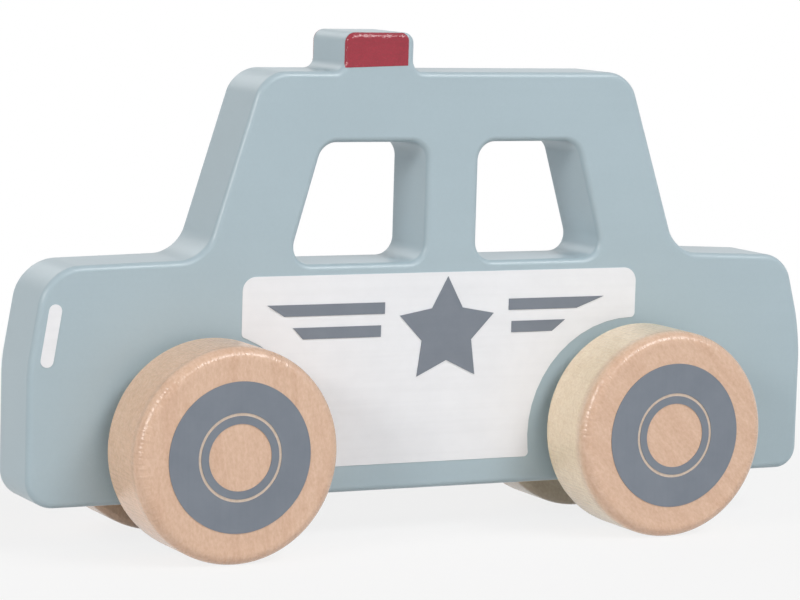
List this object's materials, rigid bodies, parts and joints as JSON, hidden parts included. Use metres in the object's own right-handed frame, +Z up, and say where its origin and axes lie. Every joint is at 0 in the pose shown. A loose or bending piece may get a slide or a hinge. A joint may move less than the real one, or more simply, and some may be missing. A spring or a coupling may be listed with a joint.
{
  "type": "toy police car",
  "caption": "Wooden push-along toy police car: a flat profile-cut board with window holes and a roof beacon, printed side panels, and turned wheels glued on dowel axles that spin in the board",
  "frame": {"origin": "middle of the car's length and width, on the floor under the wheels", "axes": "+X points to the car's front, +Y to its left side, +Z up"},
  "size_m": [0.1814, 0.0574, 0.1056],
  "materials": {
    "body_paint": "wooden board under satin grey-blue paint",
    "wheel_wood": "turned beech-like wood, smooth under a thin clear finish",
    "axle_wood": "plain wooden dowel",
    "white_print": "screen-printed white ink, satin",
    "grey_print": "screen-printed grey ink, matte",
    "red_paint": "red paint film, lightly glossy"
  },
  "bodies": {
    "board": {"car_body": "body_paint", "door_panel_left": "white_print", "door_panel_right": "white_print", "door_star_left": "grey_print", "door_star_right": "grey_print", "door_bars_left": "grey_print", "door_bars_right": "grey_print", "headlamp_left": "white_print", "headlamp_right": "white_print", "beacon_paint_left": "red_paint", "beacon_paint_right": "red_paint"},
    "front_wheels": {"front_axle": "axle_wood", "wheel_front_left": "wheel_wood", "wheel_front_right": "wheel_wood", "tyre_print_front_left": "grey_print", "tyre_print_front_right": "grey_print"},
    "rear_wheels": {"rear_axle": "axle_wood", "wheel_rear_left": "wheel_wood", "wheel_rear_right": "wheel_wood", "tyre_print_rear_left": "grey_print", "tyre_print_rear_right": "grey_print"}
  },
  "joints": [
    {"name": "front_axle_spin", "type": "hinge", "parent": "board", "child": "front_wheels", "pos_m": [0.0532, 0, 0.022], "axis": [0, 1, 0], "continuous": true},
    {"name": "rear_axle_spin", "type": "hinge", "parent": "board", "child": "rear_wheels", "pos_m": [-0.0468, 0, 0.022], "axis": [0, 1, 0], "continuous": true}
  ]
}
